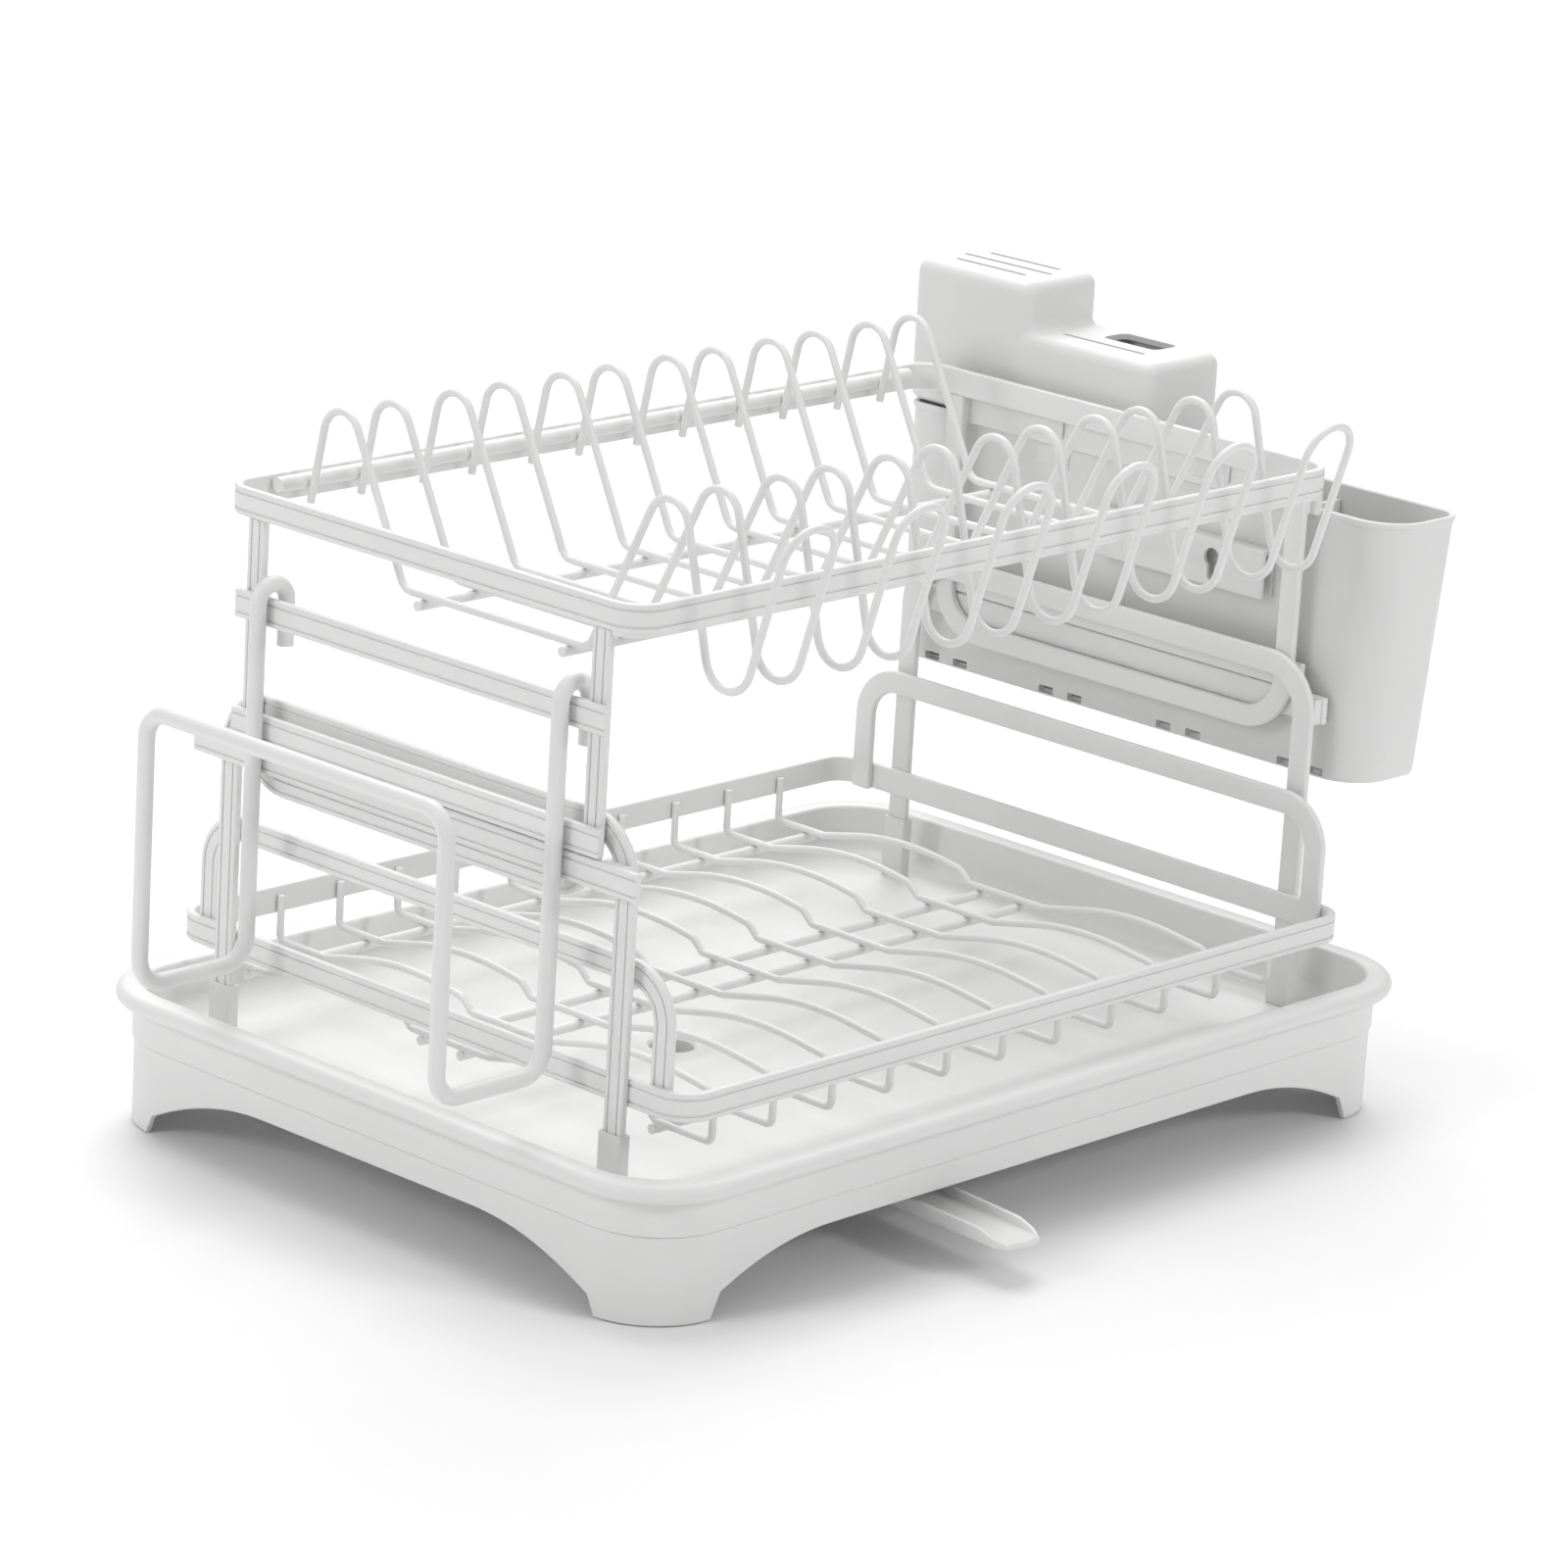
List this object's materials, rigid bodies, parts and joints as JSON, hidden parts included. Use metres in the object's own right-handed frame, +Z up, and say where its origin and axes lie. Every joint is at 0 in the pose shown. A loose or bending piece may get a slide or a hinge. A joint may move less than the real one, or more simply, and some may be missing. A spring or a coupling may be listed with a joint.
{
  "type": "dish drying rack",
  "caption": "Two-tier dish drying rack with plate loops, a drip tray with swivel spout, a board hanger, a utensil holder and a slotted knife block.",
  "frame": {"origin": "on the counter, under the centre of the drip tray", "axes": "+X along the long side towards the utensil holder, +Y to the back, +Z up"},
  "size_m": [0.5103, 0.3583, 0.301],
  "materials": {
    "coated_steel": "satin",
    "tray_plastic": "satin",
    "holder_plastic": "satin"
  },
  "bodies": {
    "tray": {"drip_tray": "tray_plastic"},
    "spout": {"drain_spout": "tray_plastic"},
    "lower_tier": {"lower_frame_left": "coated_steel", "lower_frame_right": "coated_steel", "foot_cap_front_left": "holder_plastic", "foot_cap_front_right": "holder_plastic", "foot_cap_back_left": "holder_plastic", "foot_cap_back_right": "holder_plastic", "lower_rim": "coated_steel", "guard_loop_left": "coated_steel", "guard_loop_right": "coated_steel", "lower_wire_1": "coated_steel", "lower_wire_2": "coated_steel", "lower_wire_3": "coated_steel", "lower_wire_4": "coated_steel", "lower_wire_5": "coated_steel", "lower_wire_6": "coated_steel", "lower_wire_7": "coated_steel", "lower_wire_8": "coated_steel", "lower_wire_9": "coated_steel", "lower_wire_10": "coated_steel", "lower_wire_11": "coated_steel", "lower_rod_1": "coated_steel", "lower_rod_2": "coated_steel", "lower_rod_3": "coated_steel", "lower_rod_4": "coated_steel", "lower_crossbar_left": "coated_steel", "lower_crossbar_right": "coated_steel", "slide_spacers_left": "coated_steel", "slide_spacers_right": "coated_steel"},
    "upper_tier": {"upper_rim": "coated_steel", "front_rail": "coated_steel", "upper_frame_left": "coated_steel", "upper_frame_right": "coated_steel", "stop_bar_left": "coated_steel", "stop_bar_right": "coated_steel", "hanger_bar": "coated_steel", "holder_bar": "coated_steel", "holder_bar_pads": "coated_steel", "plate_wire_1": "coated_steel", "plate_wire_2": "coated_steel", "plate_wire_3": "coated_steel", "plate_wire_4": "coated_steel", "plate_wire_5": "coated_steel", "plate_wire_6": "coated_steel", "back_rod": "coated_steel", "upper_floor_rod_front": "coated_steel", "upper_floor_rod_back": "coated_steel"},
    "hanger": {"board_hanger": "coated_steel"},
    "holder": {"utensil_holder": "holder_plastic", "holder_divider": "holder_plastic", "holder_bracket": "holder_plastic"},
    "block": {"knife_block": "holder_plastic"}
  },
  "joints": [
    {"name": "spout_swivel", "type": "hinge", "parent": "tray", "child": "spout", "pos_m": [-0.045, 0.007, 0.02], "axis": [0, 0, 1], "range_deg": [-15, 45]},
    {"name": "lower_tier_lift", "type": "slide", "parent": "tray", "child": "lower_tier", "axis": [0, 0, 1], "range_m": [0, 0.08]},
    {"name": "upper_tier_lift", "type": "slide", "parent": "lower_tier", "child": "upper_tier", "axis": [0, 0, 1], "range_m": [0, 0.12]},
    {"name": "hanger_lift", "type": "slide", "parent": "upper_tier", "child": "hanger", "axis": [0, 0, 1], "range_m": [0, 0.016]},
    {"name": "holder_lift", "type": "slide", "parent": "upper_tier", "child": "holder", "axis": [0, 0, 1], "range_m": [0, 0.018]},
    {"name": "block_lift", "type": "slide", "parent": "holder", "child": "block", "axis": [0, 0, 1], "range_m": [0, 0.06]}
  ]
}
